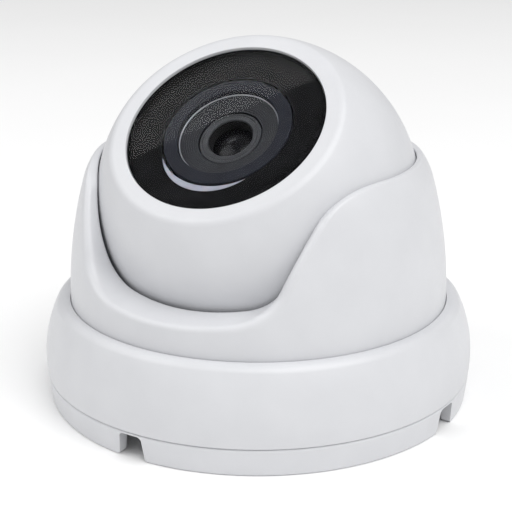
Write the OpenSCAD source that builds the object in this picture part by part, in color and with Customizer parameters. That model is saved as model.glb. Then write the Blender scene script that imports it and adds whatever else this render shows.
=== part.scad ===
// Turret dome camera: a base with a cover ring, a collar that pans on it and an eyeball that tilts in the collar.
// Millimetres. The camera stands on its mounting face (z = 0) and looks towards -Y.

/* [Base] */
// Largest radius of the base, on the cover ring
cover_r = 47.4; // [46.8:0.1:48]
// Height of the base skirt
skirt_h = 6.0; // [5.8:0.1:6.2]
// Radius of the skirt at the mounting face
skirt_foot_r = 46.5; // [46:0.1:46.8]
// Width of a cable notch at its top
notch_w = 5.3; // [4.5:0.1:7]
// Angle of the first cable notch from the front, towards +X
notch_angle = -5.5; // [-40:0.5:40]
// Circle diameter of the four mounting holes
mount_pcd = 58; // [50:1:62]
// Diameter of a mounting hole
mount_hole_d = 4.5; // [3.5:0.1:5.5]
// Diameter of the cable hole in the grommet
cable_hole_d = 7; // [5:0.5:9]

/* [Collar] */
// Outer radius of the collar at its foot
collar_r = 41.5; // [41.3:0.1:41.6]
// Height of the collar's rim above the mounting face
rim_z = 53.7; // [52.5:0.1:54.5]
// Height of the bottom of the front opening
scoop_z = 28.6; // [28.2:0.1:30]

/* [Eyeball] */
// Height of the eyeball's centre
ball_z = 43.2; // [43:0.1:43.4]
// Radius of the eyeball
ball_r = 35.2; // [35:0.1:35.3]
// Elevation of the optical axis at rest
rest_elevation = 52.35; // [25:0.05:85]
// Radius of the window glass
window_r = 21.35; // [20.8:0.05:21.6]
// Distance from the eyeball's centre to the window's front
window_z = 24.13; // [24:0.01:24.4]
// Thickness of the window glass
window_t = 1.5; // [1.2:0.1:1.6]
// Number of places on the lamp ring, one of them the light sensor's
lamp_places = 12; // [8:1:14]

/* [Optics] */
// Outer radius of the lens head
lens_head_r = 6.7; // [6.5:0.1:7]
// Radius of the lens thread
lens_thread_r = 6.0; // [5.8:0.1:6.1]
// Outer radius of the lens shade
shade_r = 13.9; // [13.5:0.1:14]
// Inner radius of the lens shade at its front
shade_mouth_r = 10.9; // [10.4:0.1:11.2]
// Travel of the filter slide
filter_travel = 6.2; // [5.8:0.1:6.3]

/* [Hidden] */
$fn = 96;
eps = 0.01;
far = 120;
seam_turn = 50;

// Fits and gaps
gap = 0.3;
running = 0.05;

// Base plate
wall = 2.0;
skirt_top_r = cover_r - 0.2;
skirt_in_r = 44.5;
skirt_round = 0.5;
pad_r = 36.5;
pad_t = 3.0;
dish_r = 34;
slab_z = 5.6;
slab_top = 7.8;
slab_r = 44.3;
notch_draft = 0.6;
notch_count = 4;
grommet_seat_r = 8;
grommet_flange_r = 9.6;
grommet_flange_t = 1.2;

// Support wall, pan ring and turn stop
support_in_r = 38.4;
support_out_r = 40.4;
support_top = 16.5;
pan_ring_r = 40.9;
pan_ring_top = support_top + 0.8;
pan_lip_r = 39.3;
pan_lip_top = 20.1;
stop_in_r = 35.6;
stop_w = 5;
stop_top = 14;

// Cover ring
cover_z = skirt_h + 0.25;
cover_curve_r = 26;
cover_curve_z = 9.5;
cover_top = 22.2;
cover_corner = 2.2;
cover_lip_r = collar_r + 0.4;
cover_lip_z = 19.9;
cover_screw_r = 43.0;
cover_screw_count = 3;
cover_screw_angle = 70;
cover_boss_r = 1.9;
cover_boss_top = 16.4;
cover_pilot_r = 0.85;

// Collar
collar_z = pan_ring_top + 0.1;
flange_r = 42.8;
flange_top = 19.4;
collar_bore_r = pan_lip_r + running;
collar_step_z = pan_lip_top + gap;
collar_inner_r = 38.0;
web_z = 26.5;
cavity_r = ball_r + 0.7;
side_curve_r = 97;
side_curve_z = 22;
shoulder_z = 49;
shoulder_r = 14;
shoulder_x = collar_r - side_curve_r + sqrt(pow(side_curve_r, 2) - pow(shoulder_z - side_curve_z, 2));
shoulder_lean = asin((shoulder_z - side_curve_z) / side_curve_r);
passage_r = 37.4;
passage_top = 36;
passage_end = 41;
passage_front = -20;
lug_bottom = 10;

// Front opening: a nearly flat bottom, round corners, leaning sides and shoulders that run out into the rim
scoop_bottom_r = 77;
scoop_corner_r = 8;
scoop_lean = 21.8;
scoop_corner_a = 11;
scoop_shoulder_r = 8.6;
scoop_bottom_x = scoop_bottom_r * sin(scoop_corner_a);
scoop_bottom_end_z = scoop_z + scoop_bottom_r * (1 - cos(scoop_corner_a));
scoop_corner_x = scoop_bottom_x - scoop_corner_r * sin(scoop_corner_a);
scoop_corner_z = scoop_bottom_end_z + scoop_corner_r * cos(scoop_corner_a);
scoop_side_x = scoop_corner_x + scoop_corner_r * cos(scoop_lean);
scoop_side_z = scoop_corner_z - scoop_corner_r * sin(scoop_lean);
scoop_shoulder_z = rim_z - scoop_shoulder_r;
scoop_shoulder_side_z = scoop_shoulder_z + scoop_shoulder_r * sin(scoop_lean);
scoop_shoulder_side_x = scoop_side_x + (scoop_shoulder_side_z - scoop_side_z) * tan(scoop_lean);
scoop_shoulder_x = scoop_shoulder_side_x + scoop_shoulder_r * cos(scoop_lean);
arc_steps = 10;

// Tilt pivots and pads
pin_r = 2.0;
pin_in_x = 30.5;
pin_out_x = 38.1;
bush_r = 3.2;
bush_in_x = 35.9;
bush_out_x = 38.3;
pivot_boss_r = 4.2;
pivot_boss_in_x = 29.8;
pad_cut_r = 4.5;
pad_lift = 4;
pad_turn = 42;
pad_gap = 0.07;

// Eyeball shells, in the eyeball's own frame with +Z along the optical axis
shell_t = 2.2;
ball_in_r = ball_r - shell_t;
face_z = window_z + 0.65;
ledge_z = window_z - window_t - 0.33;
ledge_r = 19.8;
front_wall_z = 20.3;
window_gap = 0.1;
split_z = -14;
joint_ring_r = 27.6;
joint_ring_t = 2.5;
seal_r = 30;
seal_w = 1.5;
seal_t = 1.2;
shell_screw_ring = 25.6;
shell_screw_count = 3;
shell_boss_r = 2.9;
shell_boss_top = -6;
shell_seat_z = -20;
gland_r = 5;
gland_bore_r = 2.6;

// Boards
board = 36;
board_t = 1.6;
post_at = 15.5;
post_r = 2.2;
post_pilot_z = 9;
main_board_z = -12;
lamp_board_z = 15.0;
lamp_board_r = 19.5;
lamp_board_hole_r = 8.8;
lamp_ear_x = 23.3;
lamp_ear_r = 2.6;
lamp_ring_r = 17;
lamp_r = 2.4;
lamp_body_h = 2.6;
guide_r = 12.1;
guide_x = -0.4;
guide_y = -3.8;
guide_z = 20.2;
guide_stem_y = 15.2;
guide_stem_r = 0.6;
small_shank_r = 0.9;
shank_r = 1.0;

// Optics
glass_back = window_z - window_t;
lens_front_z = 20.3;
lens_mouth_r = 4.7;
lens_mouth_z = 19.7;
holder_z = 7.0;
holder_flange_t = 2.0;
holder_top = 15.0;
holder_tube_r = 7.6;
holder_w = 18;
holder_screw_at = 7.4;
thread_low = 7.6;
head_low = 16.0;

// Filter switch
housing_x = 24;
housing_y = 20;
slot_y = 10.6;
slot_low = 3.9;
slot_high = 5.6;
aperture_r = 4.0;
filter_r = 2.8;
frame_x = 13.4;
frame_y = 10;
frame_t = 1.1;
frame_low = slot_low + gap;

// ---------- helpers ----------

module ring(r_out, r_in, low, high) {
    difference() {
        translate([0, 0, low]) cylinder(r = r_out, h = high - low);
        translate([0, 0, low - 1]) cylinder(r = r_in, h = high - low + 2);
    }
}

// Ball at the origin, its seam line turned away from the tilt pins
module ball(r) {
    rotate([0, 0, seam_turn]) sphere(r = r);
}

// Copies on a circle, the first one at angle a from +X
module around(count, r, a = 0) {
    for (i = [0 : count - 1]) rotate([0, 0, a + i * 360 / count]) translate([r, 0, 0]) children();
}

module block(x, y, low, high) {
    translate([-x / 2, -y / 2, low]) cube([x, y, high - low]);
}

module at_corners(s) {
    for (x = [-s, s], y = [-s, s]) translate([x, y, 0]) children();
}

// Puts children that were drawn on the optical axis into the eyeball at rest
module in_eyeball() {
    translate([0, 0, ball_z]) rotate([90 - rest_elevation, 0, 0]) children();
}

// Pan-head screw: its shank runs up from seat, its head hangs below
module screw(seat, tip, shank, head) {
    translate([0, 0, seat]) cylinder(r = shank, h = tip - seat);
    difference() {
        translate([0, 0, seat - head * 0.75]) cylinder(r = head, h = head * 0.75);
        translate([0, 0, seat - head]) block(head * 1.1, head * 0.3, 0, head * 0.65);
        translate([0, 0, seat - head]) block(head * 0.3, head * 1.1, 0, head * 0.65);
    }
}

function arc(cx, cz, r, a0, a1) =
    [for (i = [0 : arc_steps]) let (a = a0 + (a1 - a0) * i / arc_steps) [cx + r * cos(a), cz + r * sin(a)]];

// ---------- base ----------

notch_first = notch_angle - 90;

module notch_cut() {
    low_w = notch_w / 2 + notch_draft;
    rotate([90, 0, 90]) linear_extrude(height = 6, center = true)
        polygon([[-low_w, -1], [low_w, -1], [notch_w / 2, slab_z], [-notch_w / 2, slab_z]]);
}

module base_skirt() {
    rotate_extrude() polygon([
        [skirt_in_r, 0], [skirt_foot_r - skirt_round, 0], [skirt_foot_r, skirt_round],
        [skirt_top_r, skirt_h - 0.3], [skirt_top_r - 0.3, skirt_h], [skirt_in_r, skirt_h]
    ]);
}

module base_plate() {
    color("whitesmoke") difference() {
        union() {
            difference() {
                base_skirt();
                around(notch_count, (skirt_in_r + skirt_foot_r) / 2, notch_first) notch_cut();
            }
            cylinder(r = dish_r + eps, h = pad_t);
            ring(pad_r, dish_r, 0, slab_top);
            ring(slab_r, pad_r - eps, slab_z, slab_top);
            ring(skirt_in_r + eps, pad_r - eps, slab_z, skirt_h);
            ring(support_out_r, support_in_r, slab_top - eps, support_top);
            translate([-stop_w / 2, stop_in_r, slab_top - 1])
                cube([stop_w, support_in_r - stop_in_r + 0.8, stop_top - slab_top + 1]);
        }
        translate([0, 0, -1]) cylinder(r = grommet_seat_r, h = pad_t + 2);
        around(4, mount_pcd / 2, notch_first + 45) translate([0, 0, -1]) cylinder(d = mount_hole_d, h = pad_t + 2);
        around(cover_screw_count, cover_screw_r, cover_screw_angle)
            translate([0, 0, slab_z - 1]) cylinder(r = shank_r + 0.15, h = slab_top - slab_z + 2);
    }
}

module cover_section() {
    intersection() {
        translate([cover_r - cover_curve_r, cover_curve_z]) circle(r = cover_curve_r);
        translate([0, cover_z]) square([cover_r + 1, cover_top - cover_corner - cover_z]);
    }
    corner_x = cover_r - cover_curve_r
        + sqrt(pow(cover_curve_r - cover_corner, 2) - pow(cover_top - cover_corner - cover_curve_z, 2));
    translate([0, cover_top - cover_corner - eps]) square([corner_x, cover_corner + eps]);
    translate([corner_x, cover_top - cover_corner]) circle(r = cover_corner);
}

module cover_ring() {
    color("whitesmoke") difference() {
        union() {
            rotate_extrude() difference() {
                cover_section();
                intersection() {
                    translate([cover_r - cover_curve_r, cover_curve_z]) circle(r = cover_curve_r - wall);
                    translate([0, 0]) square([cover_r, cover_lip_z]);
                }
                square([cover_r - 2 * wall, cover_lip_z]);
                square([cover_lip_r, far]);
            }
            around(cover_screw_count, cover_screw_r, cover_screw_angle) {
                translate([0, 0, slab_top]) cylinder(r = cover_boss_r, h = cover_boss_top - slab_top);
                translate([0, -cover_boss_r / 2, slab_top])
                    cube([wall + 0.6, cover_boss_r, cover_boss_top - slab_top]);
            }
        }
        around(cover_screw_count, cover_screw_r, cover_screw_angle)
            translate([0, 0, slab_top - 1]) cylinder(r = shank_r, h = 6);
    }
}

module cover_screws() {
    color("silver") around(cover_screw_count, cover_screw_r, cover_screw_angle)
        screw(slab_z, slab_top + 4.5, shank_r, 1.4);
}

module pan_ring() {
    color("ivory") {
        ring(pan_ring_r, support_in_r, support_top, pan_ring_top);
        ring(pan_lip_r, support_in_r, support_top, pan_lip_top);
    }
}

module friction_ring() {
    color("dimgray") ring(flange_r, cover_lip_r + 0.1, flange_top + running, cover_lip_z);
}

module cable_grommet() {
    color("black") difference() {
        union() {
            cylinder(r = grommet_seat_r, h = pad_t);
            translate([0, 0, pad_t]) cylinder(r = grommet_flange_r, h = grommet_flange_t);
        }
        translate([0, 0, -1]) cylinder(d = cable_hole_d, h = far);
    }
}

// ---------- collar ----------

module collar_section() {
    cx = shoulder_x - shoulder_r * cos(shoulder_lean);
    cz = shoulder_z - shoulder_r * sin(shoulder_lean);
    rim_lean = asin((rim_z - cz) / shoulder_r);
    polygon(concat(
        [[0, collar_z], [flange_r, collar_z], [flange_r, flange_top], [collar_r, flange_top]],
        arc(collar_r - side_curve_r, side_curve_z, side_curve_r, 0, shoulder_lean),
        arc(cx, cz, shoulder_r, shoulder_lean + 1, rim_lean),
        [[0, rim_z]]
    ));
}

// Right half of the front opening, from the middle of its bottom up to the rim
function scoop_half() = concat(
    arc(0, scoop_z + scoop_bottom_r, scoop_bottom_r, -90, -90 + scoop_corner_a),
    arc(scoop_corner_x, scoop_corner_z, scoop_corner_r, -90 + scoop_corner_a, -scoop_lean),
    arc(scoop_shoulder_x, scoop_shoulder_z, scoop_shoulder_r, 180 - scoop_lean, 90)
);

module scoop_cut() {
    half = scoop_half();
    top = far - 20;
    right = concat(half, [[scoop_shoulder_x + 20, rim_z], [scoop_shoulder_x + 20, top]]);
    rotate([90, 0, 0]) linear_extrude(height = far) for (s = [1, -1]) scale([s, 1])
        polygon(concat([for (p = right) p], [[-eps, top], [-eps, scoop_z]]));
}

module collar_shell() {
    color("whitesmoke") difference() {
        union() {
            difference() {
                rotate([0, 0, seam_turn]) rotate_extrude() collar_section();
                translate([0, 0, ball_z]) ball(cavity_r);
                translate([0, 0, collar_z - 1]) cylinder(r = collar_bore_r, h = collar_step_z - collar_z + 1);
                translate([0, 0, collar_z]) cylinder(r = collar_inner_r, h = web_z - collar_z);
                intersection() {
                    union() {
                        translate([0, 0, web_z - 1]) cylinder(r = passage_r, h = passage_top - web_z + 1);
                        translate([0, 0, passage_top - eps])
                            cylinder(r1 = passage_r, r2 = passage_r - 2.4, h = passage_end - passage_top);
                    }
                    translate([-far / 2, passage_front, 0]) cube([far, far, far]);
                }
                scoop_cut();
            }
            translate([-stop_w / 2, -collar_inner_r, lug_bottom])
                cube([stop_w, collar_inner_r - stop_in_r, collar_step_z - lug_bottom + eps]);
            translate([-stop_w / 2, -collar_inner_r - 0.8, collar_step_z])
                cube([stop_w, collar_inner_r + 0.8 - stop_in_r, web_z + 1 - collar_step_z]);
        }
        for (s = [0, 180]) rotate([0, 0, s]) translate([bush_in_x - 2, 0, ball_z])
            rotate([0, 90, 0]) cylinder(r = bush_r, h = bush_out_x - bush_in_x + 2);
    }
}

module pivot_bushes() {
    color("black") for (s = [0, 180]) rotate([0, 0, s]) translate([0, 0, ball_z])
        rotate([0, 90, 0]) ring(bush_r, pin_r + running, bush_in_x, bush_out_x);
}

module tilt_pads() {
    color("dimgray") for (s = [-1, 1]) intersection() {
        translate([0, 0, ball_z]) difference() {
            sphere(r = cavity_r);
            sphere(r = ball_r + pad_gap);
        }
        translate([0, 0, ball_z + pad_lift]) rotate([0, 0, 90 + s * pad_turn]) rotate([0, 90, 0])
            cylinder(r = pad_cut_r, h = far);
    }
}

// ---------- eyeball shells ----------

module half_shell(low, high) {
    difference() {
        intersection() {
            ball(ball_r);
            block(far, far, low, high);
        }
        intersection() {
            ball(ball_in_r);
            block(far, far, -far, front_wall_z);
        }
    }
}

module joint_ring(low, high) {
    intersection() {
        ring(ball_r, joint_ring_r, low, high);
        ball(ball_in_r + 0.5);
    }
}

module front_shell() {
    color("whitesmoke") in_eyeball() difference() {
        union() {
            half_shell(split_z, face_z);
            joint_ring(split_z, split_z + joint_ring_t);
            at_corners(post_at) cylinder(r = post_r, h = front_wall_z + 0.5);
            for (x = [-lamp_ear_x, lamp_ear_x]) translate([x, 0, lamp_board_z])
                cylinder(r = lamp_ear_r, h = front_wall_z - lamp_board_z + 0.5);
            for (s = [0, 180]) rotate([0, 0, s]) translate([pivot_boss_in_x, 0, 0])
                rotate([0, 90, 0]) cylinder(r = pivot_boss_r, h = ball_in_r - pivot_boss_in_x + 0.6);
            around(shell_screw_count, shell_screw_ring, 90) translate([0, 0, split_z + gap])
                cylinder(r = shell_boss_r, h = shell_boss_top - split_z - gap);
        }
        translate([0, 0, ledge_z]) cylinder(r = window_r + window_gap, h = far);
        translate([0, 0, front_wall_z - 1]) cylinder(r = ledge_r, h = far);
        at_corners(post_at) translate([0, 0, -1]) cylinder(r = shank_r, h = post_pilot_z + 1);
        for (x = [-lamp_ear_x, lamp_ear_x]) translate([x, 0, lamp_board_z - 1])
            cylinder(r = small_shank_r, h = 5);
        for (s = [0, 180]) rotate([0, 0, s]) translate([pivot_boss_in_x - 1, 0, 0])
            rotate([0, 90, 0]) cylinder(r = pin_r, h = far);
        around(shell_screw_count, shell_screw_ring, 90) translate([0, 0, split_z - 1])
            cylinder(r = shank_r + 0.2, h = shell_boss_top - split_z);
    }
}

module rear_shell() {
    color("whitesmoke") in_eyeball() difference() {
        union() {
            half_shell(-far, split_z);
            joint_ring(split_z - joint_ring_t, split_z);
            intersection() {
                around(shell_screw_count, shell_screw_ring, 90) translate([0, 0, -ball_r])
                    cylinder(r = shell_boss_r, h = split_z + ball_r - gap);
                ball(ball_r - 0.4);
            }
        }
        ring(seal_r + seal_w / 2, seal_r - seal_w / 2, split_z - seal_t, split_z + 1);
        around(shell_screw_count, shell_screw_ring, 90) {
            translate([0, 0, -far]) cylinder(r = 2.2, h = far + shell_seat_z);
            translate([0, 0, shell_seat_z - 1]) cylinder(r = shank_r + 0.3, h = far);
        }
        translate([0, 0, -far]) cylinder(r = gland_r, h = far - ball_in_r / 2);
    }
}

module shell_seal() {
    color("black") in_eyeball() ring(seal_r + seal_w / 2, seal_r - seal_w / 2, split_z - seal_t, split_z);
}

module shell_screws() {
    color("silver") in_eyeball() around(shell_screw_count, shell_screw_ring, 90)
        screw(shell_seat_z, split_z + 6, shank_r + 0.2, 2.0);
}

module pivot_pins() {
    color("silver") for (s = [0, 180]) rotate([0, 0, s]) translate([pin_in_x, 0, ball_z])
        rotate([0, 90, 0]) cylinder(r = pin_r, h = pin_out_x - pin_in_x);
}

module cable_gland() {
    color("black") in_eyeball() difference() {
        intersection() {
            sphere(r = ball_r);
            ring(gland_r, gland_bore_r, -far, 1.5 - ball_in_r);
        }
        sphere(r = ball_in_r - 1.2);
    }
}

// ---------- window and lamps ----------

module window_glass() {
    color("black") in_eyeball() translate([0, 0, glass_back]) cylinder(r = window_r, h = window_t);
}

module window_gasket() {
    color("dimgray") in_eyeball() ring(window_r - 0.1, ledge_r + 0.1, ledge_z, glass_back);
}

module lens_shade() {
    front = glass_back - 0.03;
    color("darkslategray") in_eyeball() rotate_extrude() polygon([
        [shade_r - 1.4, lamp_board_z], [shade_r, lamp_board_z], [shade_r, front], [shade_mouth_r, front],
        [shade_mouth_r - 0.5, front - 0.5], [lens_head_r + 0.2, lens_front_z], [lens_head_r + 0.2, lens_front_z - 1.4],
        [shade_mouth_r - 0.5, front - 2.2], [shade_r - 1.4, front - 3.4]
    ]);
}

module led_board() {
    color("white") in_eyeball() difference() {
        union() {
            translate([0, 0, lamp_board_z - board_t]) cylinder(r = lamp_board_r, h = board_t);
            block(2 * lamp_ear_x, 2 * lamp_ear_r, lamp_board_z - board_t, lamp_board_z);
            for (x = [-lamp_ear_x, lamp_ear_x]) translate([x, 0, lamp_board_z - board_t])
                cylinder(r = lamp_ear_r, h = board_t);
        }
        translate([0, 0, lamp_board_z - 3]) cylinder(r = lamp_board_hole_r, h = 5);
        for (x = [-lamp_ear_x, lamp_ear_x]) translate([x, 0, lamp_board_z - 3])
            cylinder(r = small_shank_r + 0.1, h = 5);
    }
}

module lamp(r, body_h) {
    cylinder(r = r, h = body_h);
    intersection() {
        translate([0, 0, body_h - 0.4]) sphere(r = r - 0.2);
        translate([0, 0, body_h - eps]) cylinder(r = r, h = r);
    }
}

module ir_leds() {
    color("lightgray") in_eyeball() for (i = [1 : lamp_places - 1])
        rotate([0, 0, -90 + i * 360 / lamp_places]) translate([lamp_ring_r, 0, lamp_board_z]) lamp(lamp_r, lamp_body_h);
}

module light_sensor() {
    color("lavender") in_eyeball() translate([0, -lamp_ring_r, lamp_board_z]) lamp(1.5, 1.8);
}

// Crescent under the glass that leads the room's light down to the sensor
module light_guide() {
    color("lavender") in_eyeball() {
        translate([0, 0, guide_z]) linear_extrude(height = glass_back - guide_z) difference() {
            translate([guide_x, guide_y]) circle(r = guide_r);
            circle(r = shade_r + gap);
        }
        translate([0, -guide_stem_y, lamp_board_z + 3.2]) cylinder(r = guide_stem_r, h = guide_z - lamp_board_z - 3.2);
    }
}

module led_screws() {
    color("silver") in_eyeball() for (x = [-lamp_ear_x, lamp_ear_x]) translate([x, 0, 0])
        screw(lamp_board_z - board_t, lamp_board_z + 3.5, small_shank_r, 1.8);
}

// ---------- lens ----------

module lens_barrel() {
    color("black") in_eyeball() rotate_extrude() polygon([
        [3.4, thread_low], [lens_thread_r, thread_low], [lens_thread_r, head_low], [lens_head_r, head_low],
        [lens_head_r, lens_front_z], [lens_mouth_r + 0.3, lens_front_z], [lens_mouth_r, lens_mouth_z],
        [lens_mouth_r, 17.6], [3.0, 17.6], [3.0, 9.6], [3.4, 9.6]
    ]);
}

module front_lens() {
    color("lightsteelblue") in_eyeball() intersection() {
        translate([0, 0, 17.6]) cylinder(r = lens_mouth_r, h = 3);
        translate([0, 0, 19.6 - 8.5]) sphere(r = 8.5);
    }
}

module rear_lens() {
    color("lightsteelblue") in_eyeball() intersection() {
        translate([0, 0, 6]) cylinder(r = 3.4, h = 3.6);
        translate([0, 0, 13.6]) sphere(r = 6.0);
    }
}

module lens_lock_ring() {
    color("black") in_eyeball() ring(holder_tube_r, lens_thread_r, holder_top, head_low - 0.2);
}

module lens_holder() {
    color("black") in_eyeball() difference() {
        union() {
            translate([0, 0, holder_z]) block(holder_w, holder_w, 0, holder_flange_t);
            translate([0, 0, holder_z]) cylinder(r = holder_tube_r, h = holder_top - holder_z);
        }
        translate([0, 0, holder_z - 1]) cylinder(r = lens_thread_r, h = far);
        for (s = [-1, 1]) translate([s * holder_screw_at, s * holder_screw_at, holder_z - 1])
            cylinder(r = small_shank_r, h = 5);
    }
}

module holder_screws() {
    color("silver") in_eyeball() for (s = [-1, 1]) translate([s * holder_screw_at, s * holder_screw_at, 0])
        rotate([180, 0, 0]) screw(-holder_z - holder_flange_t, -holder_z + 2.6, small_shank_r, 1.4);
}

// ---------- filter switch ----------

module filter_housing() {
    slot_x = 2 * (frame_x / 2 + filter_travel / 2 + gap);
    color("black") in_eyeball() difference() {
        block(housing_x, housing_y, 0, holder_z);
        block(11, 10, -1, 2.4);
        block(slot_x, slot_y, slot_low, slot_high);
        cylinder(r = aperture_r, h = far);
        for (s = [-1, 1]) translate([s * holder_screw_at, s * holder_screw_at, holder_z - 2.7])
            cylinder(r = small_shank_r, h = far);
    }
}

module filter_frame() {
    color("gray") in_eyeball() difference() {
        translate([-filter_travel / 2, 0, 0]) block(frame_x, frame_y, frame_low, frame_low + frame_t);
        for (x = [0, -filter_travel]) translate([x, 0, frame_low - 1]) cylinder(r = filter_r, h = 4);
    }
}

module filter_disc(x) {
    in_eyeball() translate([x, 0, frame_low + 0.2]) cylinder(r = filter_r, h = 0.7);
}

module day_filter() {
    color("lightblue") filter_disc(0);
}

module night_glass() {
    color("azure") filter_disc(-filter_travel);
}

// ---------- boards ----------

module image_sensor() {
    color("dimgray") in_eyeball() block(9, 7, 0, 1.4);
}

module sensor_board() {
    color("green") in_eyeball() difference() {
        block(board, board, -board_t, 0);
        at_corners(post_at) translate([0, 0, -3]) cylinder(r = shank_r + 0.1, h = 5);
    }
}

module board_spacers() {
    color("silver") in_eyeball() at_corners(post_at) ring(post_r, shank_r + 0.1, main_board_z, -board_t);
}

module board_screws() {
    color("silver") in_eyeball() at_corners(post_at)
        screw(main_board_z - board_t, post_pilot_z - 1.5, shank_r, 1.8);
}

module main_board() {
    color("green") in_eyeball() difference() {
        block(board, board, main_board_z - board_t, main_board_z);
        at_corners(post_at) translate([0, 0, main_board_z - 3]) cylinder(r = shank_r + 0.1, h = 5);
    }
}

module processor_chip() {
    color("black") in_eyeball() block(11, 11, main_board_z, main_board_z + 1.2);
}

module board_connector() {
    color("ivory") in_eyeball() translate([0, 14, 0]) block(16, 4, main_board_z, -board_t);
}

module cable_header() {
    color("ivory") in_eyeball() translate([0, -11, 0]) difference() {
        block(15, 6, main_board_z - board_t - 4.5, main_board_z - board_t);
        block(13.4, 4.4, main_board_z - board_t - 6, main_board_z - board_t - 1);
    }
}

base_plate();
cover_ring();
cover_screws();
pan_ring();
friction_ring();
cable_grommet();
collar_shell();
pivot_bushes();
tilt_pads();
front_shell();
rear_shell();
shell_seal();
shell_screws();
pivot_pins();
cable_gland();
window_glass();
window_gasket();
lens_shade();
led_board();
ir_leds();
light_sensor();
light_guide();
led_screws();
lens_barrel();
front_lens();
rear_lens();
lens_lock_ring();
lens_holder();
holder_screws();
filter_housing();
filter_frame();
day_filter();
night_glass();
image_sensor();
sensor_board();
board_spacers();
board_screws();
main_board();
processor_chip();
board_connector();
cable_header();
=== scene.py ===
from math import acos, asin, atan2, cos, degrees, pi, radians, sin, sqrt, tan

import bpy
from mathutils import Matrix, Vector


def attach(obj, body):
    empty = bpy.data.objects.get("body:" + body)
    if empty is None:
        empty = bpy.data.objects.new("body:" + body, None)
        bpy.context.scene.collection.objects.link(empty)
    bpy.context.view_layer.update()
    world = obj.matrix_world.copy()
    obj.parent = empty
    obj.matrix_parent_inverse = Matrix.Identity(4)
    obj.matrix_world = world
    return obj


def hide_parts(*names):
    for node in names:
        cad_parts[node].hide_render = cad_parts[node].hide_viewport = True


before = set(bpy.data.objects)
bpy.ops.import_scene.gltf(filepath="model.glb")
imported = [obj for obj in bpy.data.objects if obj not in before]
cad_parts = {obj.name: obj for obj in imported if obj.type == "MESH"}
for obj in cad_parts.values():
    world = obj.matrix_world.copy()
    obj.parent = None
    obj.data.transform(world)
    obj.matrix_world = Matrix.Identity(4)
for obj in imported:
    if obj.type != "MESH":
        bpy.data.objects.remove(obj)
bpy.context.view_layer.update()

# Lengths are in millimetres and angles in degrees, apart from the studio at the end, which is in metres
MM = 0.001
EYE_HEIGHT = 43.2
AXIS_LIFT = 52.35
EYE_TURN = 90 - AXIS_LIFT
WELD = 0.002


# ---------- drawing and turning ----------

def clear_selection():
    if bpy.context.object and bpy.context.object.mode != "OBJECT":
        bpy.ops.object.mode_set(mode="OBJECT")
    bpy.ops.object.select_all(action="DESELECT")


def pick(piece):
    clear_selection()
    piece.select_set(True)
    bpy.context.view_layer.objects.active = piece


def name_piece(piece, name):
    piece.name = name
    piece.data.name = name


def arc(cx, cy, r, start, end, steps):
    """Points on a circle's arc, angles in degrees."""
    turn = [radians(start + (end - start) * i / steps) for i in range(steps + 1)]
    return [(cx + r * cos(a), cy + r * sin(a)) for a in turn]


def round_corners(corners, steps=6):
    """A closed outline from (x, y) or (x, y, radius) corners, each radius turned into an arc."""
    outline = []
    for i, corner in enumerate(corners):
        here = Vector(corner[:2])
        radius = corner[2] if len(corner) > 2 else 0
        if not radius:
            outline.append((here.x, here.y))
            continue
        back = (Vector(corners[i - 1][:2]) - here).normalized()
        on = (Vector(corners[(i + 1) % len(corners)][:2]) - here).normalized()
        half = acos(max(-1, min(1, back.dot(on)))) / 2
        middle = here + (back + on).normalized() * (radius / sin(half))
        first = here + back * (radius / tan(half)) - middle
        last = here + on * (radius / tan(half)) - middle
        sweep = atan2(first.x * last.y - first.y * last.x, first.dot(last))
        begin = atan2(first.y, first.x)
        for k in range(steps + 1):
            a = begin + sweep * k / steps
            outline.append((middle.x + radius * cos(a), middle.y + radius * sin(a)))
    return outline


def draw(name, outline, closed=True):
    """Draws a line in the XZ plane, by extruding a plane merged to one point from place to place."""
    clear_selection()
    bpy.ops.mesh.primitive_plane_add(size=2 * MM)
    piece = bpy.context.object
    name_piece(piece, name)
    bpy.ops.object.mode_set(mode="EDIT")
    bpy.ops.mesh.select_all(action="SELECT")
    bpy.ops.mesh.merge(type="CENTER")
    x, z = outline[0]
    bpy.ops.transform.translate(value=(x * MM, 0, z * MM))
    for to_x, to_z in list(outline[1:]) + ([outline[0]] if closed else []):
        step = ((to_x - x) * MM, 0, (to_z - z) * MM)
        bpy.ops.mesh.extrude_region_move(TRANSFORM_OT_translate={"value": step})
        x, z = to_x, to_z
    bpy.ops.mesh.select_all(action="SELECT")
    bpy.ops.mesh.remove_doubles(threshold=WELD * MM)
    return piece


def turn_on_lathe(name, outline, steps=192, closed=True):
    """A turned piece: its section is drawn beside the Z axis and spun once round."""
    piece = draw(name, outline, closed)
    bpy.ops.mesh.select_all(action="SELECT")
    bpy.ops.mesh.spin(steps=steps, angle=2 * pi, center=(0, 0, 0), axis=(0, 0, 1))
    bpy.ops.mesh.select_all(action="SELECT")
    bpy.ops.mesh.remove_doubles(threshold=WELD * MM)
    bpy.ops.mesh.select_all(action="SELECT")
    bpy.ops.mesh.normals_make_consistent(inside=False)
    bpy.ops.object.mode_set(mode="OBJECT")
    return piece


def cut_bar(name, outline, y_from, y_to):
    """A bar of the outline's section along Y, capped at both ends."""
    piece = draw(name, outline)
    bpy.ops.transform.translate(value=(0, y_from * MM, 0))
    bpy.ops.mesh.edge_face_add()
    bpy.ops.mesh.extrude_region_move(TRANSFORM_OT_translate={"value": (0, (y_to - y_from) * MM, 0)})
    bpy.ops.mesh.select_all(action="SELECT")
    bpy.ops.mesh.normals_make_consistent(inside=False)
    bpy.ops.object.mode_set(mode="OBJECT")
    return piece


def round_bar(name, x, y, low, high, r, steps=64):
    clear_selection()
    bpy.ops.mesh.primitive_cylinder_add(vertices=steps, radius=r * MM, depth=(high - low) * MM,
                                        location=(x * MM, y * MM, (low + high) / 2 * MM))
    piece = bpy.context.object
    name_piece(piece, name)
    settle(piece)
    return piece


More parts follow.
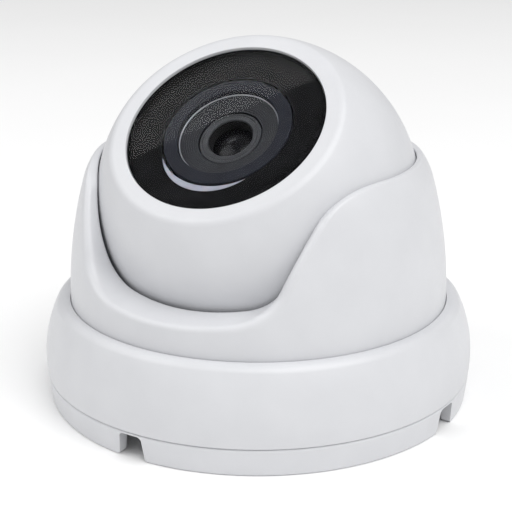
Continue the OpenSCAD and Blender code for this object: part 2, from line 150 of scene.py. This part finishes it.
def settle(piece, location=(0, 0, 0), turn=(0, 0, 0)):
    """Moves and turns a finished piece and leaves its place in its mesh."""
    pick(piece)
    if any(location) or any(turn):
        piece.location = [v * MM for v in location]
        piece.rotation_euler = [radians(v) for v in turn]
    bpy.ops.object.transform_apply(location=True, rotation=True, scale=True)


def into_eyeball(piece):
    """Takes a piece drawn on the optical axis to its place in the eyeball at rest."""
    settle(piece, (0, 0, EYE_HEIGHT), (EYE_TURN, 0, 0))
    return piece


def apply_cut(piece, tool, how="DIFFERENCE"):
    pick(piece)
    cut = piece.modifiers.new("cut", "BOOLEAN")
    cut.operation = how
    cut.solver = "EXACT"
    cut.object = tool
    bpy.ops.object.modifier_apply(modifier=cut.name)
    bpy.data.objects.remove(tool, do_unlink=True)


def break_edges(piece, width, steps=3, angle=40):
    """Takes the sharpness off a piece's edges."""
    pick(piece)
    edge = piece.modifiers.new("edge", "BEVEL")
    edge.width = width * MM
    edge.segments = steps
    edge.limit_method = "ANGLE"
    edge.angle_limit = radians(angle)
    bpy.ops.object.modifier_apply(modifier=edge.name)


def smooth(piece, angle=32, weighted=True):
    pick(piece)
    bpy.ops.object.shade_smooth_by_angle(angle=radians(angle))
    if weighted:
        even = piece.modifiers.new("even", "WEIGHTED_NORMAL")
        even.keep_sharp = True
        bpy.ops.object.modifier_apply(modifier=even.name)


def paint(piece, material):
    piece.data.materials.clear()
    piece.data.materials.append(material)


# ---------- finishes ----------

def new_finish(name):
    material = bpy.data.materials.new(name)
    material.use_nodes = True
    nodes = material.node_tree.nodes
    return material, nodes, material.node_tree.links, nodes["Principled BSDF"]


def grain_of(nodes, links, place, size, detail=3.0):
    """Noise with grains of about that many millimetres."""
    noise = nodes.new("ShaderNodeTexNoise")
    noise.inputs["Scale"].default_value = 1 / (size * MM)
    noise.inputs["Detail"].default_value = detail
    links.new(place.outputs["Object"], noise.inputs["Vector"])
    return noise


def blend_colours(nodes, links, driver, low, high, start=0.35, end=0.65):
    ramp = nodes.new("ShaderNodeValToRGB")
    ramp.color_ramp.elements[0].position = start
    ramp.color_ramp.elements[1].position = end
    ramp.color_ramp.elements[0].color = (*low, 1)
    ramp.color_ramp.elements[1].color = (*high, 1)
    links.new(driver, ramp.inputs["Fac"])
    return ramp


def spread(nodes, links, driver, low, high):
    ranged = nodes.new("ShaderNodeMapRange")
    ranged.inputs["From Min"].default_value = 0.3
    ranged.inputs["From Max"].default_value = 0.7
    ranged.inputs["To Min"].default_value = low
    ranged.inputs["To Max"].default_value = high
    links.new(driver, ranged.inputs["Value"])
    return ranged


def bumps(nodes, links, shader, coarse, fine, coarse_depth, fine_depth):
    """Coarse and fine relief, depths in millimetres."""
    first = nodes.new("ShaderNodeBump")
    first.inputs["Strength"].default_value = 1.0
    first.inputs["Distance"].default_value = coarse_depth * MM
    links.new(coarse.outputs["Fac"], first.inputs["Height"])
    second = nodes.new("ShaderNodeBump")
    second.inputs["Strength"].default_value = 1.0
    second.inputs["Distance"].default_value = fine_depth * MM
    links.new(fine.outputs["Fac"], second.inputs["Height"])
    links.new(first.outputs["Normal"], second.inputs["Normal"])
    links.new(second.outputs["Normal"], shader.inputs["Normal"])


def finish(name, dark, light, patch, grain, rough, depth, metallic=0.0, **sockets):
    """A surface with colour patches, two sizes of grain and uneven gloss."""
    material, nodes, links, shader = new_finish(name)
    place = nodes.new("ShaderNodeTexCoord")
    cloud = grain_of(nodes, links, place, patch)
    coarse = grain_of(nodes, links, place, grain, 2.0)
    fine = grain_of(nodes, links, place, grain / 4, 2.0)
    ramp = blend_colours(nodes, links, cloud.outputs["Fac"], dark, light)
    links.new(ramp.outputs["Color"], shader.inputs["Base Color"])
    gloss = spread(nodes, links, coarse.outputs["Fac"], *rough)
    links.new(gloss.outputs["Result"], shader.inputs["Roughness"])
    bumps(nodes, links, shader, coarse, fine, *depth)
    shader.inputs["Metallic"].default_value = metallic
    for socket, value in sockets.items():
        shader.inputs[socket.replace("_", " ")].default_value = value
    return material


powder_coat = finish("white powder coat", (0.640, 0.646, 0.668), (0.660, 0.666, 0.688), 9, 0.9,
                     (0.32, 0.42), (0.012, 0.003))
window_clear = finish("clear window plastic", (0.93, 0.94, 0.95), (0.96, 0.97, 0.98), 12, 6.0,
                      (0.0, 0.02), (0.0004, 0.0001), Transmission_Weight=1.0, IOR=1.1)
print_black = finish("black window print", (0.006, 0.006, 0.0068), (0.009, 0.009, 0.0100), 5, 0.7,
                     (0.50, 0.62), (0.001, 0.0004), Specular_IOR_Level=0.04)
shade_black = finish("blue black shade plastic", (0.015, 0.016, 0.023), (0.020, 0.022, 0.030), 3, 0.35,
                     (0.38, 0.50), (0.008, 0.003), Specular_IOR_Level=0.12)
funnel_grey = finish("dark grey funnel plastic", (0.015, 0.016, 0.020), (0.021, 0.022, 0.027), 3, 0.3,
                     (0.34, 0.46), (0.008, 0.003), Specular_IOR_Level=0.3)
barrel_black = finish("black anodised aluminium", (0.028, 0.029, 0.033), (0.038, 0.039, 0.044), 2, 0.2,
                      (0.28, 0.42), (0.004, 0.002), metallic=0.2)
lens_glass = finish("coated lens glass", (0.002, 0.002, 0.003), (0.004, 0.004, 0.006), 4, 2.0,
                    (0.02, 0.05), (0.0004, 0.0001), Specular_IOR_Level=0.16)
guide_plastic = finish("milky light guide plastic", (0.36, 0.36, 0.43), (0.43, 0.43, 0.50), 2, 0.6,
                       (0.25, 0.38), (0.004, 0.001), Subsurface_Weight=0.3, Subsurface_Scale=0.001)
lamp_epoxy = finish("lamp epoxy", (0.52, 0.53, 0.56), (0.66, 0.67, 0.70), 1.5, 0.6,
                    (0.06, 0.14), (0.002, 0.0005), Transmission_Weight=0.5)
# Far darker than the barrel's own black: matt black deepened by painted shade inside the lens mouth
bore_black_and_shade = finish("matt black bore with painted shade", (0.004, 0.004, 0.005), (0.007, 0.007, 0.008), 1, 0.15,
                    (0.55, 0.7), (0.004, 0.002), Specular_IOR_Level=0.2)
# Light grey metal for the bead on the funnel's mouth: its pale colour paints the thin bright highlight arcs
# along that edge
highlight_bead_metal = finish("light metal bead as painted highlight", (0.42, 0.43, 0.47), (0.55, 0.56, 0.60), 2, 0.3,
                    (0.30, 0.42), (0.001, 0.0005), metallic=0.7)
board_white = finish("white lamp board", (0.70, 0.70, 0.68), (0.80, 0.80, 0.78), 4, 0.25,
                     (0.35, 0.5), (0.004, 0.002))
board_green = finish("green board", (0.010, 0.075, 0.030), (0.018, 0.110, 0.045), 3, 0.3,
                     (0.25, 0.4), (0.006, 0.002))
chip_black = finish("chip resin", (0.018, 0.018, 0.019), (0.032, 0.032, 0.033), 2, 0.15,
                    (0.45, 0.6), (0.004, 0.002))
connector_ivory = finish("ivory connector plastic", (0.62, 0.58, 0.47), (0.70, 0.66, 0.55), 3, 0.4,
                         (0.35, 0.5), (0.006, 0.002))
bearing_ivory = finish("bearing plastic", (0.66, 0.64, 0.58), (0.74, 0.72, 0.66), 6, 0.5,
                       (0.3, 0.45), (0.006, 0.002))
black_rubber = finish("black rubber", (0.020, 0.020, 0.021), (0.034, 0.034, 0.035), 4, 0.3,
                      (0.6, 0.8), (0.02, 0.006))
black_plastic = finish("black moulded plastic", (0.018, 0.018, 0.019), (0.030, 0.030, 0.031), 4, 0.4,
                       (0.38, 0.52), (0.010, 0.004))
screw_steel = finish("screw steel", (0.46, 0.46, 0.47), (0.60, 0.60, 0.61), 2, 0.3,
                     (0.22, 0.4), (0.003, 0.001), metallic=1.0)
filter_glass = finish("filter glass", (0.62, 0.72, 0.78), (0.70, 0.80, 0.86), 3, 2.0, (0.02, 0.06),
                      (0.0004, 0.0001), Transmission_Weight=0.8)

FINISHES = {
    powder_coat: ["base_plate", "cover_ring", "collar_shell", "front_shell", "rear_shell"],
    screw_steel: ["cover_screws", "shell_screws", "pivot_pins", "led_screws", "holder_screws",
                  "board_spacers", "board_screws", "filter_frame"],
    bearing_ivory: ["pan_ring"],
    black_rubber: ["friction_ring", "cable_grommet", "tilt_pads", "shell_seal", "window_gasket",
                   "cable_gland"],
    black_plastic: ["pivot_bushes", "lens_holder", "filter_housing"],
    window_clear: ["window_glass"],
    shade_black: ["lens_shade"],
    board_white: ["led_board"],
    lamp_epoxy: ["ir_leds", "light_sensor"],
    guide_plastic: ["light_guide"],
    barrel_black: ["lens_barrel", "lens_lock_ring"],
    lens_glass: ["front_lens", "rear_lens"],
    filter_glass: ["day_filter", "night_glass"],
    chip_black: ["image_sensor", "processor_chip"],
    board_green: ["sensor_board", "main_board"],
    connector_ivory: ["board_connector", "cable_header"],
}
for material, names in FINISHES.items():
    for node in names:
        paint(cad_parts[node], material)


# ---------- base ----------

SKIRT_HEIGHT = 6.0
NOTCH_ANGLES = [-95.5 + 90 * i for i in range(4)]
MOUNTING_R = 29
MOUNTING_HOLE_R = 2.25
COVER_SCREW_R = 43
COVER_SCREW_HOLE_R = 1.15
COVER_SCREW_ANGLES = (70, 190, 310)


def make_base_casting():
    """Skirt, pad and support wall in one turned casting, with the cable notches and screw holes cut out."""
    piece = turn_on_lathe("base_casting", round_corners([
        (8.0, 0, 0.2), (36.5, 0, 0.5), (36.5, 5.6, 0.4), (44.5, 5.6, 0.4), (44.5, 0, 0.4), (46.5, 0, 0.5),
        (47.2, SKIRT_HEIGHT, 0.6), (44.3, SKIRT_HEIGHT, 0.1), (44.3, 7.8, 0.2), (40.4, 7.8, 0.2),
        (40.4, 16.5, 0.2), (38.4, 16.5, 0.2), (38.4, 7.8, 0.2), (34, 7.8, 0.3), (34, 3, 0.4), (8.0, 3, 0.2)
    ], 4), 240)
    for angle in NOTCH_ANGLES:
        tool = cut_bar("notch_tool", round_corners([
            (-7, -1), (7, -1), (7, -0.03), (3.25, -0.03, 1.25), (2.65, 5.5, 1.0),
            (-2.65, 5.5, 1.0), (-3.25, -0.03, 1.25), (-7, -0.03)
        ]), 41.0, 52.0)
        settle(tool, turn=(0, 0, angle - 90))
        apply_cut(piece, tool)
    for angle in NOTCH_ANGLES:
        a = radians(angle + 45)
        x, y = MOUNTING_R * cos(a), MOUNTING_R * sin(a)
        apply_cut(piece, round_bar("hole_tool", x, y, -1, 5, MOUNTING_HOLE_R))
    for angle in COVER_SCREW_ANGLES:
        a = radians(angle)
        x, y = COVER_SCREW_R * cos(a), COVER_SCREW_R * sin(a)
        apply_cut(piece, round_bar("hole_tool", x, y, 4, 9, COVER_SCREW_HOLE_R, 32))
    smooth(piece)
    paint(piece, powder_coat)
    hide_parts("base_plate")
    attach(piece, "base")


def make_cover_ring():
    """Drum-shaped ring over the pan bearing, crowned outside and hollow inside."""
    crown_x, crown_z, crown_r, hollow_r = 21.385, 9.5, 26, 24
    top, corner_r, seam_z = 22.2, 2.2, 6.07
    corner_x = crown_x + sqrt((crown_r - corner_r) ** 2 - (top - corner_r - crown_z) ** 2)
    lean = degrees(atan2(top - corner_r - crown_z, corner_x - crown_x))
    foot = [(45.3, seam_z), (47.02, seam_z)]
    outside = arc(crown_x, crown_z, crown_r, degrees(asin(-3.36 / crown_r)), lean, 24)
    shoulder = arc(corner_x, top - corner_r, corner_r, lean, 90, 12)[1:]
    lip = [(41.78, top), (41.66, 22.16), (41.62, 22.06), (41.62, 19.95)]
    high, low = degrees(asin(10.4 / hollow_r)), degrees(asin(-3.25 / hollow_r))
    inside = arc(crown_x, crown_z, hollow_r, high, low, 14)
    piece = turn_on_lathe("cover_ring_casting", foot + outside + shoulder + lip + inside, 256)
    smooth(piece)
    paint(piece, powder_coat)
    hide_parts("cover_ring")
    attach(piece, "base")


# ---------- collar ----------

RIM_Z = 53.7
SIDE_R = 97
SIDE_Z = 22
FOOT_R = 41.5
SHOULDER_Z = 49
SHOULDER_R = 14
CAVITY_R = 35.9
SILL_STEPS = 14
CORNER_STEPS = 16
SIDE_STEPS = 14
SHOULDER_STEPS = 20
CORNER_END = SILL_STEPS + CORNER_STEPS
SIDE_END = CORNER_END + SIDE_STEPS
BACK_STEPS = 60


def ease(t):
    t = max(0.0, min(1.0, t))
    return t * t * (3 - 2 * t)


def collar_radius(z):
    """Outer radius of the collar at a height."""
    if z <= SIDE_Z:
        return FOOT_R
    if z <= SHOULDER_Z:
        return FOOT_R - SIDE_R + sqrt(SIDE_R ** 2 - (z - SIDE_Z) ** 2)
    lean = asin((SHOULDER_Z - SIDE_Z) / SIDE_R)
    x = FOOT_R - SIDE_R + SIDE_R * cos(lean) - SHOULDER_R * cos(lean)
    rise = z - (SHOULDER_Z - SHOULDER_R * sin(lean))
    return x + sqrt(SHOULDER_R ** 2 - rise ** 2)


def bowl_radius(z):
    """The bowl's ball radius, which closes in on the eyeball towards the rim."""
    return CAVITY_R - 0.5 * ease((z - 38.0) / 12.0)


def cavity_radius(z):
    return sqrt(bowl_radius(z) ** 2 - (z - EYE_HEIGHT) ** 2)


def scoop_line():
    """Right half of the opening seen from the front, as (x, z) from the middle of its sill to the rim."""
    sill_z, sill_r, sill_turn, corner_r, lean, shoulder_r = 28.6, 77, 10.1, 10, 20.6, 8.8
    t, l = radians(sill_turn), radians(lean)
    corner_x = sill_r * sin(t) - corner_r * sin(t)
    corner_z = sill_z + sill_r * (1 - cos(t)) + corner_r * cos(t)
    side_x, side_z = corner_x + corner_r * cos(l), corner_z - corner_r * sin(l)
    top_z = RIM_Z - shoulder_r
    side_end_z = top_z + shoulder_r * sin(l)
    side_end_x = side_x + (side_end_z - side_z) * tan(l)
    top_x = side_end_x + shoulder_r * cos(l)
    sill = arc(0, sill_z + sill_r, sill_r, -90, -90 + sill_turn, SILL_STEPS)
    corner = arc(corner_x, corner_z, corner_r, -90 + sill_turn, -lean, CORNER_STEPS)[1:]
    side = []
    for i in range(1, SIDE_STEPS + 1):
        x = side_x + (side_end_x - side_x) * i / SIDE_STEPS
        side.append((x, side_z + (side_end_z - side_z) * i / SIDE_STEPS))
    shoulder = arc(top_x, top_z, shoulder_r, 180 - lean, 90, SHOULDER_STEPS)[1:]
    return sill + corner + side + shoulder


def rolled(corner, first, second, length, steps):
    """Rounded corner between two surfaces that leave the corner along first and second."""
    middle = (first + second).normalized()
    half = acos(max(-1, min(1, first.dot(second)))) / 2
    radius = length * tan(half)
    centre = corner + middle * (length / cos(half))
    start = corner + first * length - centre
    end = corner + second * length - centre
    whole = acos(max(-1, min(1, start.dot(end) / radius ** 2)))
    points = []
    for i in range(steps + 1):
        t = i / steps
        points.append(centre + (start * sin((1 - t) * whole) + end * sin(t * whole)) / sin(whole))
    return points


def make_collar():
    """Turret collar: a drum with a sill and sides scooped out of its front, its edges rolled over."""
    line = scoop_line()
    # Outer and inner edge of the opening, then the rim round the back
    outer, inner, roll = [], [], []
    for i, (x, z) in enumerate(line):
        hole = cavity_radius(z)
        straight = asin(min(0.97, x / hole))
        square = asin(x / collar_radius(z))
        turn = square + (straight - square) * (1 - ease((x - 27.0) / 7.0))
        inner.append(Vector((hole * sin(turn), -hole * cos(turn), z)))
        # The opening widens towards the outside, most along its sides
        ahead = line[min(i + 1, len(line) - 1)]
        behind = line[i - 1] if i else (-line[1][0], line[1][1])
        run = Vector((ahead[0] - behind[0], ahead[1] - behind[1])).normalized()
        widening = 0.3 + 0.7 * ease(i / CORNER_END) + 0.3 * ease((i - CORNER_END + 2) / SIDE_STEPS)
        flare = widening * (1 - ease((i - SIDE_END - 2) / (SHOULDER_STEPS - 2)))
        x, z = x + run.y * flare, z - run.x * flare
        outer.append(Vector((x, -sqrt(collar_radius(z) ** 2 - x * x), z)))
        side = ease((i - 12) / 18)
        roll.append((1.2 + 1.3 * side) * (1 - 0.85 * ease((z - 44.0) / 9.0)))
    rim_r, hole_r = collar_radius(RIM_Z), cavity_radius(RIM_Z)
    start_out = degrees(atan2(outer[-1].x, -outer[-1].y))
    start_in = degrees(atan2(inner[-1].x, -inner[-1].y))
    for i in range(1, BACK_STEPS + 1):
        t = i / BACK_STEPS
        turned = start_out + (180 - start_out) * t
        a = radians(turned)
        b = radians(turned + (start_in - start_out) * (1 - ease(min(1, t * 2.2))))
        outer.append(Vector((rim_r * sin(a), -rim_r * cos(a), RIM_Z)))
        inner.append(Vector((hole_r * sin(b), -hole_r * cos(b), RIM_Z)))
        roll.append(0.3)
    count = len(outer)
    columns = []
    for i in range(count):
        p, q = outer[i], inner[i]
        before = outer[i - 1] if i else Vector((-outer[1].x, outer[1].y, outer[1].z))
        after = outer[i + 1] if i < count - 1 else Vector((-outer[i - 1].x, outer[i - 1].y, outer[i - 1].z))
        along = (after - before).normalized()
        before = inner[i - 1] if i else Vector((-inner[1].x, inner[1].y, inner[1].z))
        after = inner[i + 1] if i < count - 1 else Vector((-inner[i - 1].x, inner[i - 1].y, inner[i - 1].z))
        along_in = (after - before).normalized()
        slope = (collar_radius(p.z + 0.02) - collar_radius(p.z - 0.02)) / 0.04
        if p.z > RIM_Z - 0.03:
            slope = (collar_radius(RIM_Z) - collar_radius(RIM_Z - 0.02)) / 0.02
        out = Vector((p.x, p.y, 0)).normalized()
        normal = (out - Vector((0, 0, slope))).normalized()
        down = along.cross(normal).normalized()
        if down.z > 0 or (abs(down.z) < 0.2 and down.dot(Vector((p.x, 0, 0))) < 0):
            down = -down
        wall = q - p
        wall = (wall - along * wall.dot(along)).normalized()
        edge = rolled(p, down, wall, min(roll[i], 0.42 * (q - p).length), 8)
        # The roll starts on the drum itself
        first = edge[0]
        fix = collar_radius(first.z) / sqrt(first.x ** 2 + first.y ** 2)
        shift = Vector((first.x * (fix - 1), first.y * (fix - 1), 0))
        edge = [e + shift * (1 - k / 8) ** 2 for k, e in enumerate(edge)]
        first = edge[0]
        turn = atan2(first.x, -first.y)
        drum = []
        for k in range(30):
            z = SIDE_Z + (first.z - SIDE_Z) * k / 30
            r = collar_radius(z)
            drum.append(Vector((r * sin(turn), -r * cos(turn), z)))
        inward = -(q - Vector((0, 0, EYE_HEIGHT))).normalized()
        under = along_in.cross(inward).normalized()
        if under.z > 0 or (abs(under.z) < 0.2 and under.dot(Vector((q.x, 0, 0))) < 0):
            under = -under
        out_wall = p - q
        out_wall = (out_wall - along_in * out_wall.dot(along_in)).normalized()
        lip = rolled(q, out_wall, under, min(0.5, 0.3 * (q - p).length), 4)
        ledge = [edge[-1].lerp(lip[0], k / 5) for k in range(1, 5)]
        last = lip[-1]
        last_turn = atan2(last.x, -last.y)
        low_z = 26.6
        high_a = asin(max(-1, min(1, (last.z - EYE_HEIGHT) / bowl_radius(last.z))))
        low_a = asin((low_z - EYE_HEIGHT) / CAVITY_R)
        bowl = []
        for k in range(1, 17):
            t = k / 16
            lift = high_a + (low_a - high_a) * t
            a = last_turn + (turn - last_turn) * t
            z = EYE_HEIGHT + CAVITY_R * sin(lift)
            r = cavity_radius(z)
            bowl.append(Vector((r * sin(a), -r * cos(a), z)))
        foot = []
        for r, z in ((31.9, 26.5), (38.0, 26.5), (38.0, 20.4), (39.35, 20.4), (39.35, 17.6), (39.5, 17.4),
                     (42.6, 17.4), (42.8, 17.6), (42.8, 19.2), (42.6, 19.4), (41.6, 19.4),
                     (FOOT_R, 19.5), (FOOT_R, 20.7)):
            foot.append(Vector((r * sin(turn), -r * cos(turn), z)))
        columns.append(drum + edge + ledge + lip + bowl + foot)
    rows = len(columns[0])
    ring = columns + [[Vector((-v.x, v.y, v.z)) for v in c] for c in columns[-2:0:-1]]
    vertices = [tuple(v * MM) for c in ring for v in c]
    total = len(ring)
    faces = []
    for i in range(total):
        j = (i + 1) % total
        for k in range(rows):
            m = (k + 1) % rows
            faces.append((i * rows + k, j * rows + k, j * rows + m, i * rows + m))
    mesh = bpy.data.meshes.new("collar_casting")
    mesh.from_pydata(vertices, [], faces)
    piece = bpy.data.objects.new("collar_casting", mesh)
    bpy.context.scene.collection.objects.link(piece)
    pick(piece)
    bpy.ops.object.mode_set(mode="EDIT")
    bpy.ops.mesh.select_all(action="SELECT")
    bpy.ops.mesh.normals_make_consistent(inside=False)
    bpy.ops.object.mode_set(mode="OBJECT")
    smooth(piece, 40)
    paint(piece, powder_coat)
    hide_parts("collar_shell")
    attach(piece, "collar")


# ---------- eyeball ----------

BALL_R = 35.2
HOLLOW_R = 33.0
SPLIT_Z = -14.0
SPLIT = degrees(asin(SPLIT_Z / BALL_R))
SPLIT_GAP = 0.45
FACE_Z = 24.78
GUIDE_X, GUIDE_Y = -0.4, -3.8
FUNNEL_STEPS = 8


def make_eyeball_front():
    """Front of the eyeball: ball, flat face with a soft edge, and the step that holds the window."""
    edge_r, bore_r, step_r, step_z, back_z = 2.4, 21.45, 19.8, 22.3, 20.3
    edge_x = sqrt((BALL_R - edge_r) ** 2 - (FACE_Z - edge_r) ** 2)
    edge_a = degrees(atan2(FACE_Z - edge_r, edge_x))
    outside = arc(0, 0, BALL_R, SPLIT + SPLIT_GAP, edge_a, 60)
    edge = arc(edge_x, FACE_Z - edge_r, edge_r, edge_a, 90, 10)[1:]
    bore = [(21.75, FACE_Z), (21.54, FACE_Z - 0.09), (bore_r, FACE_Z - 0.28), (bore_r, step_z),
            (step_r, step_z), (step_r, back_z)]
    inside = arc(0, 0, HOLLOW_R, degrees(asin(back_z / HOLLOW_R)), degrees(asin(SPLIT_Z / HOLLOW_R)), 36)
    lip = [(32.0, SPLIT_Z)]
    piece = turn_on_lathe("eyeball_front", outside + edge + bore + inside + lip, 240)
    into_eyeball(piece)
    smooth(piece)
    paint(piece, powder_coat)
    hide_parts("front_shell")
    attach(piece, "eyeball")


def make_eyeball_rear():
    """Back of the eyeball, with three sunk screw seats and the cable gland's hole."""
    cable_r, screws_r = 5.0, 25.6
    outside = arc(0, 0, BALL_R, degrees(-acos(cable_r / BALL_R)), SPLIT - SPLIT_GAP, 44)
    seam = [(32.0, SPLIT_Z)]
    inside = arc(0, 0, HOLLOW_R, degrees(asin(SPLIT_Z / HOLLOW_R)), degrees(-acos(cable_r / HOLLOW_R)), 30)
    piece = turn_on_lathe("eyeball_rear", outside + seam + inside, 192)
    for angle in (90, 210, 330):
        x, y = screws_r * cos(radians(angle)), screws_r * sin(radians(angle))
        apply_cut(piece, round_bar("boss_tool", x, y, -22.6, -14.3, 2.9, 40), "UNION")
        apply_cut(piece, round_bar("seat_tool", x, y, -40, -20, 2.2, 40))
        apply_cut(piece, round_bar("hole_tool", x, y, -21, -10, 1.3, 24))
    into_eyeball(piece)
    smooth(piece)
    paint(piece, powder_coat)
    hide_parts("rear_shell")
    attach(piece, "eyeball")


def make_window():
    """Clear window, and the black print on its back and edge that leaves the middle clear."""
    pane = turn_on_lathe("window_pane", [
        (0, 22.66), (7, 22.66), (14, 22.66), (21.15, 22.66), (21.27, 22.78), (21.27, 23.95), (21.2, 24.08),
        (21.05, 24.13), (14, 24.13), (7, 24.13), (0, 24.13)
    ], 192, False)
    into_eyeball(pane)
    smooth(pane)
    paint(pane, window_clear)
    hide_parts("window_glass")
    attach(pane, "eyeball")
    cup = turn_on_lathe("window_print", [
        (0, 22.635), (21.2, 22.635), (21.32, 22.7), (21.35, 22.8), (21.35, 24.09), (21.29, 24.09),
        (21.29, 22.76), (21.17, 22.655), (0, 22.655)
    ], 192, False)
    apply_cut(cup, round_bar("clear_tool", 0, 0, 22, 23, 14.2, 160))
    apply_cut(cup, round_bar("clear_tool", GUIDE_X, GUIDE_Y, 22, 23, 12.1, 160))
    into_eyeball(cup)
    smooth(cup)
    paint(cup, print_black)
    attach(cup, "eyeball")


def make_shade():
    """Soft ring that keeps the lamps' light out of the lens, with a stepped funnel set into it."""
    ring = turn_on_lathe("shade_ring", round_corners([
        (12.5, 15.0), (13.9, 15.0, 0.2), (13.9, 22.6, 0.3), (10.9, 22.6, 0.25), (10.9, 21.2), (12.5, 20.9)
    ], 5), 192)
    into_eyeball(ring)
    smooth(ring)
    paint(ring, shade_black)
    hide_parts("lens_shade")
    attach(ring, "eyeball")
    mouth_r, throat_r, mouth_z, throat_z = 10.3, 6.9, 21.3, 20.3
    funnel = []
    for i in range(FUNNEL_STEPS):
        r0 = mouth_r - (mouth_r - throat_r) * i / FUNNEL_STEPS
        r1 = mouth_r - (mouth_r - throat_r) * (i + 1) / FUNNEL_STEPS
        z0 = mouth_z - (mouth_z - throat_z) * i / FUNNEL_STEPS
        z1 = mouth_z - (mouth_z - throat_z) * (i + 1) / FUNNEL_STEPS
        funnel += [(r0, z0), (r1 + 0.08, z0 - 0.02), (r1 + 0.02, z1 + 0.03)]
    rim = [(10.86, 20.6), (10.86, 21.36), (10.42, 21.36)]
    back = [(throat_r, 20.25), (throat_r, 19.0), (7.1, 18.95), (10.4, 20.35)]
    insert = turn_on_lathe("shade_funnel", rim + funnel + back, 192)
    into_eyeball(insert)
    smooth(insert)
    paint(insert, funnel_grey)
    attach(insert, "eyeball")
    # Thin light-coloured bead round the funnel's mouth, whose colour paints the bright highlight arcs along
    # the inner edge
    bead = turn_on_lathe("shade_highlight_bead", arc(10.72, 21.44, 0.13, 0, 330, 11), 192)
    into_eyeball(bead)
    smooth(bead)
    paint(bead, highlight_bead_metal)
    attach(bead, "eyeball")


def make_lens():
    """Threaded barrel with a ringed front, and the domed front element in its mouth."""
    thread = []
    z = 8.0
    while z < 15.6:
        thread += [(6.0, z), (5.8, z + 0.2)]
        z += 0.4
    head = [(6.0, 16.0), (6.7, 16.0), (6.7, 20.12), (6.62, 20.26), (6.5, 20.3), (6.12, 20.3), (6.04, 20.22),
            (5.9, 20.22), (5.82, 20.3), (5.0, 20.3), (4.86, 20.2), (4.75, 20.0)]
    mouth = []
    for k in range(5):
        mouth += [(4.72, 19.8 - 0.42 * k), (4.62, 19.7 - 0.42 * k)]
    tail = [(3.4, 7.6), (5.8, 7.6), (6.0, 7.8)]
    bore = [(4.7, 17.6), (3.0, 17.6), (3.0, 9.6), (3.4, 9.6)]
    barrel = turn_on_lathe("lens_barrel_turned", tail + thread + head + mouth + bore, 128)
    paint(barrel, barrel_black)
    # Faces inside 4.8 mm, the mouth and bore, get the darker black: matt black plus painted shade in the
    # recess
    barrel.data.materials.append(bore_black_and_shade)
    for face in barrel.data.polygons:
        if sqrt(face.center.x ** 2 + face.center.y ** 2) < 4.8 * MM:
            face.material_index = 1
    into_eyeball(barrel)
    smooth(barrel, 28)
    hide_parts("lens_barrel")
    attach(barrel, "eyeball")
    dome_r, dome_z, element_r = 10.0, 9.0, 4.55
    flat = [(0, 17.62), (2.5, 17.62), (4.5, 17.62), (element_r, 17.7)]
    dome = arc(0, dome_z, dome_r, degrees(acos(element_r / dome_r)), 90, 18)
    element = turn_on_lathe("front_element", flat + dome[:-1] + [(0, dome_z + dome_r)], 96, False)
    into_eyeball(element)
    smooth(element)
    paint(element, lens_glass)
    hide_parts("front_lens")
    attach(element, "eyeball")


def make_light_guide():
    """Crescent of milky plastic between the shade and the window, with a stem down to the sensor."""
    piece = round_bar("light_guide_crescent", GUIDE_X, GUIDE_Y, 20.2, 22.62, 12.05, 160)
    apply_cut(piece, round_bar("ring_tool", 0, 0, 19, 24, 14.45, 160))
    stem = round_bar("stem_tool", 0, -15.2, 18.2, 20.4, 0.6, 24)
    apply_cut(piece, stem, "UNION")
    break_edges(piece, 0.12, 2, 50)
    into_eyeball(piece)
    smooth(piece)
    paint(piece, guide_plastic)
    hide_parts("light_guide")
    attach(piece, "eyeball")


make_base_casting()
make_cover_ring()
make_collar()
make_eyeball_front()
make_eyeball_rear()
make_window()
make_shade()
make_lens()
make_light_guide()


# ---------- floor, light and camera ----------

def make_floor():
    clear_selection()
    bpy.ops.mesh.primitive_plane_add(size=8)
    floor = bpy.context.object
    name_piece(floor, "floor")
    paint(floor, finish("pale floor", (0.94, 0.94, 0.94), (0.96, 0.96, 0.96), 300, 60,
                        (0.85, 0.95), (0.001, 0.001)))


def soft_box(name, place, target, wide, high, power, turn=0):
    """A rectangular lamp facing its target, turned about the line to it. Power in watts."""
    light = bpy.data.lights.new(name, "AREA")
    light.shape = "RECTANGLE"
    light.size = wide
    light.size_y = high
    light.energy = power
    lamp = bpy.data.objects.new(name, light)
    bpy.context.scene.collection.objects.link(lamp)
    lamp.location = place
    lamp.rotation_euler = (Vector(target) - Vector(place)).to_track_quat("-Z", "Y").to_euler()
    lamp.rotation_euler.rotate_axis("Z", radians(turn))
    return lamp


make_floor()
world = bpy.data.worlds.new("studio")
bpy.context.scene.world = world
world.use_nodes = True
world.node_tree.nodes["Background"].inputs["Color"].default_value = (1, 1, 1, 1)
world.node_tree.nodes["Background"].inputs["Strength"].default_value = 0.46
soft_box("overhead", (0.58, -0.22, 1.12), (0, 0, 0.03), 1.2, 1.1, 12.7)
soft_box("left_front", (-0.63, -0.53, 0.93), (0, 0, 0.03), 0.7, 0.6, 3.1)
soft_box("left_strip", (-0.484, 0.039, 0.9), (-0.484, 0.039, 0), 0.30, 0.12, 0.34, 27)

bpy.context.scene.view_settings.view_transform = "Standard"

lens = bpy.data.cameras.new("camera")
lens.lens = 95.25
lens.sensor_width = 36
lens.shift_x = -0.00488
eye = bpy.data.objects.new("camera", lens)
bpy.context.scene.collection.objects.link(eye)
eye.location = (0.1318, -0.2517, 0.1262)
aim = Vector((0, 0, 0.0299)) - eye.location
eye.rotation_euler = aim.to_track_quat("-Z", "Y").to_euler()
bpy.context.scene.camera = eye
